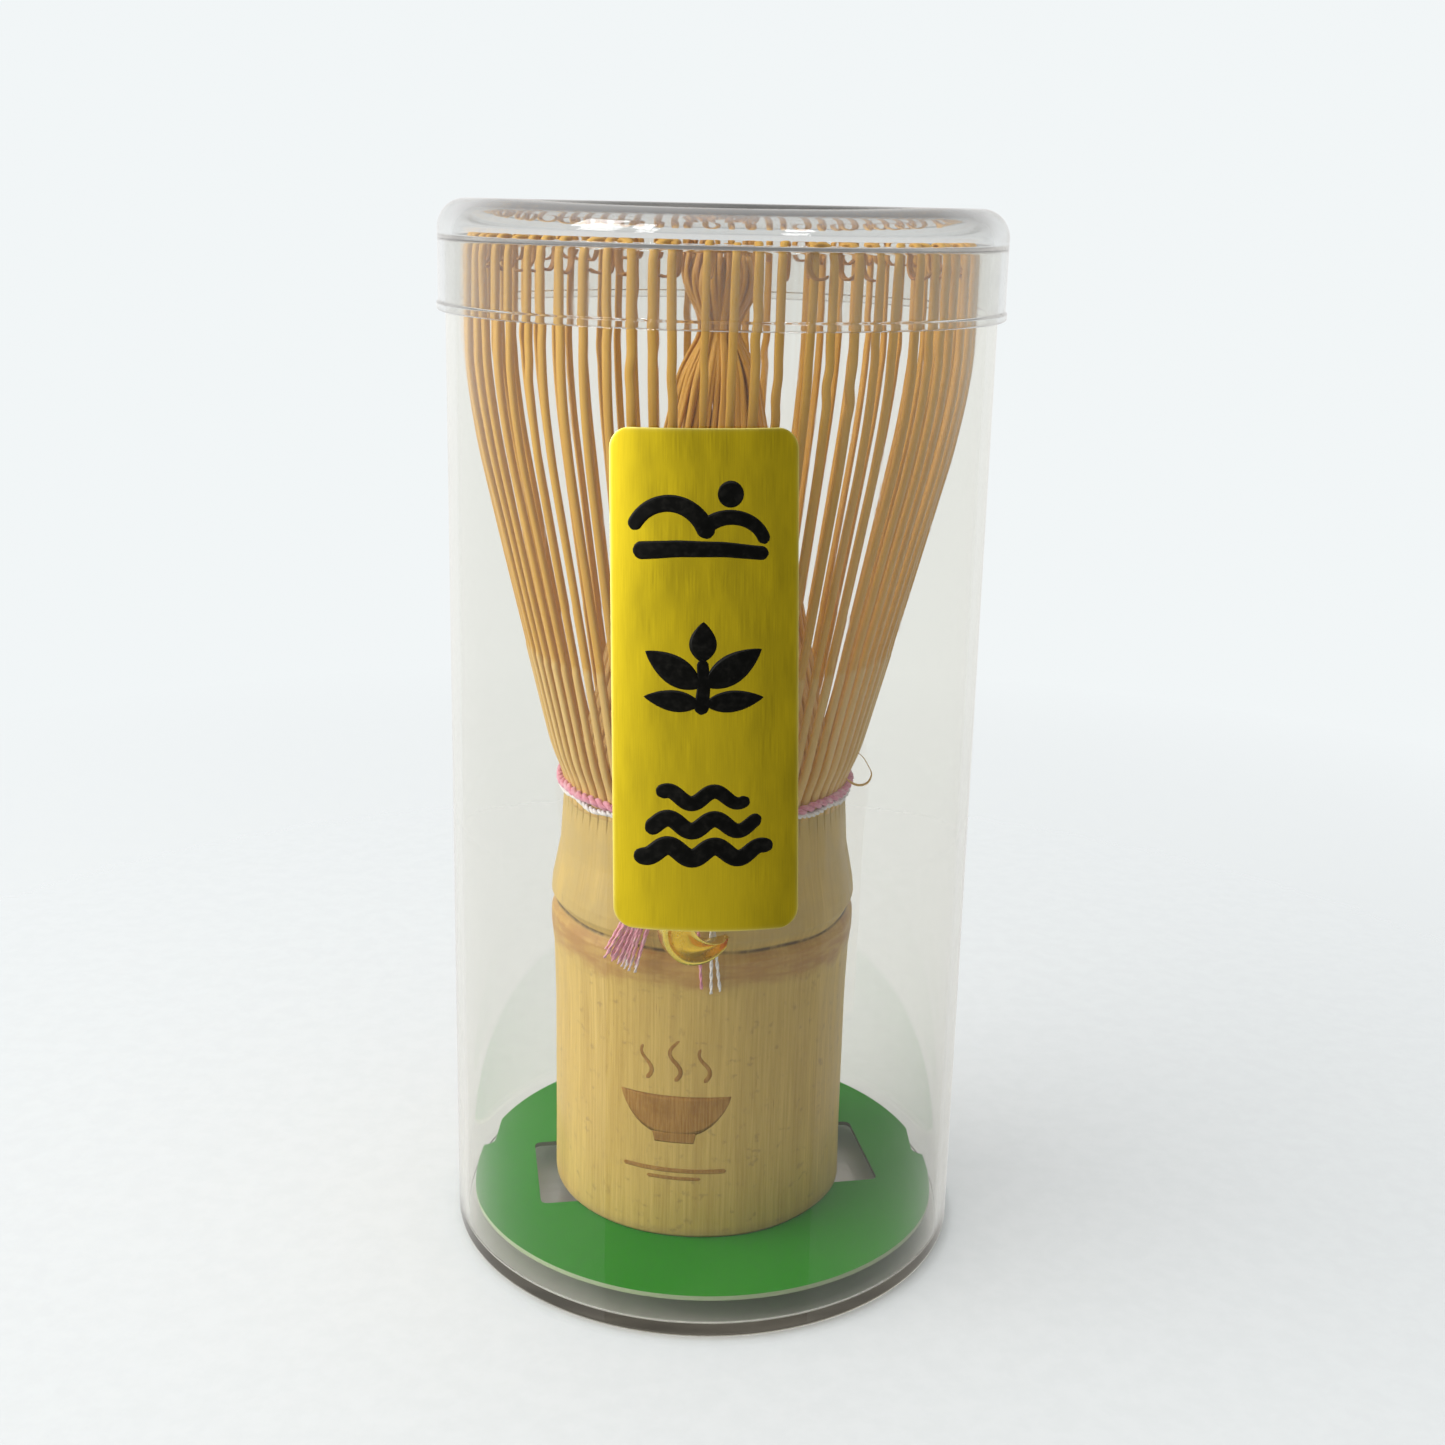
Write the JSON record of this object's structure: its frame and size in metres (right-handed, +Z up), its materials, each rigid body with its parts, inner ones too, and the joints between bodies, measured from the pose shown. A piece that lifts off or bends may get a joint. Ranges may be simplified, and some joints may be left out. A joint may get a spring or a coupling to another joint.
{
  "type": "bamboo tea whisk",
  "caption": "Split-bamboo tea whisk with curled tines, binding thread and crescent charm, standing on a card insert in a clear round lidded case",
  "frame": {"origin": "centre of the flat underside of the clear case", "axes": "+Z up along the case's axis, -Y towards the label and the charm, +X to the right as seen from the front"},
  "size_m": [0.064, 0.064, 0.1235],
  "materials": {
    "clear_plastic": "polished",
    "clear_lid_plastic": "polished",
    "green_card": "satin",
    "gold_foil": "satin",
    "bamboo_skin": "satin",
    "bamboo_tine": "satin",
    "bamboo_inner": "satin",
    "pink_thread": "matte",
    "white_thread": "matte",
    "gold_metal": "polished"
  },
  "bodies": {
    "case": {"case_tube": "clear_plastic", "foil_label": "gold_foil"},
    "insert": {"base_insert": "green_card"},
    "whisk": {"whisk_handle": "bamboo_skin", "outer_tines": "bamboo_tine", "inner_tines": "bamboo_inner", "thread_pink": "pink_thread", "thread_white": "white_thread", "inner_lacing": "white_thread", "thread_knot": "pink_thread"},
    "lid": {"case_lid": "clear_lid_plastic"},
    "charm": {"moon_charm": "gold_metal", "charm_loop": "white_thread"},
    "tassel": {"tassel_pink": "pink_thread"},
    "tail": {"tail_white": "white_thread", "tail_pink": "pink_thread"}
  },
  "joints": [
    {"name": "insert_lift", "type": "slide", "parent": "case", "child": "insert", "axis": [0, 0, 1], "range_m": [0, 0.125]},
    {"name": "whisk_lift", "type": "slide", "parent": "insert", "child": "whisk", "axis": [0, 0, 1], "range_m": [0, 0.125]},
    {"name": "lid_lift", "type": "slide", "parent": "whisk", "child": "lid", "axis": [0, 0, 1], "range_m": [0, 0.04]},
    {"name": "charm_swing", "type": "hinge", "parent": "whisk", "child": "charm", "pos_m": [-0.00322, -0.0195, 0.0559], "axis": [0, 1, 0], "range_deg": [-20, 20]},
    {"name": "tassel_swing", "type": "hinge", "parent": "whisk", "child": "tassel", "pos_m": [-0.0037, -0.01855, 0.0559], "axis": [0, 1, 0], "range_deg": [-8, 15]},
    {"name": "tail_swing", "type": "hinge", "parent": "whisk", "child": "tail", "pos_m": [-0.0004, -0.01855, 0.0559], "axis": [0, 1, 0], "range_deg": [-7, 7]}
  ]
}
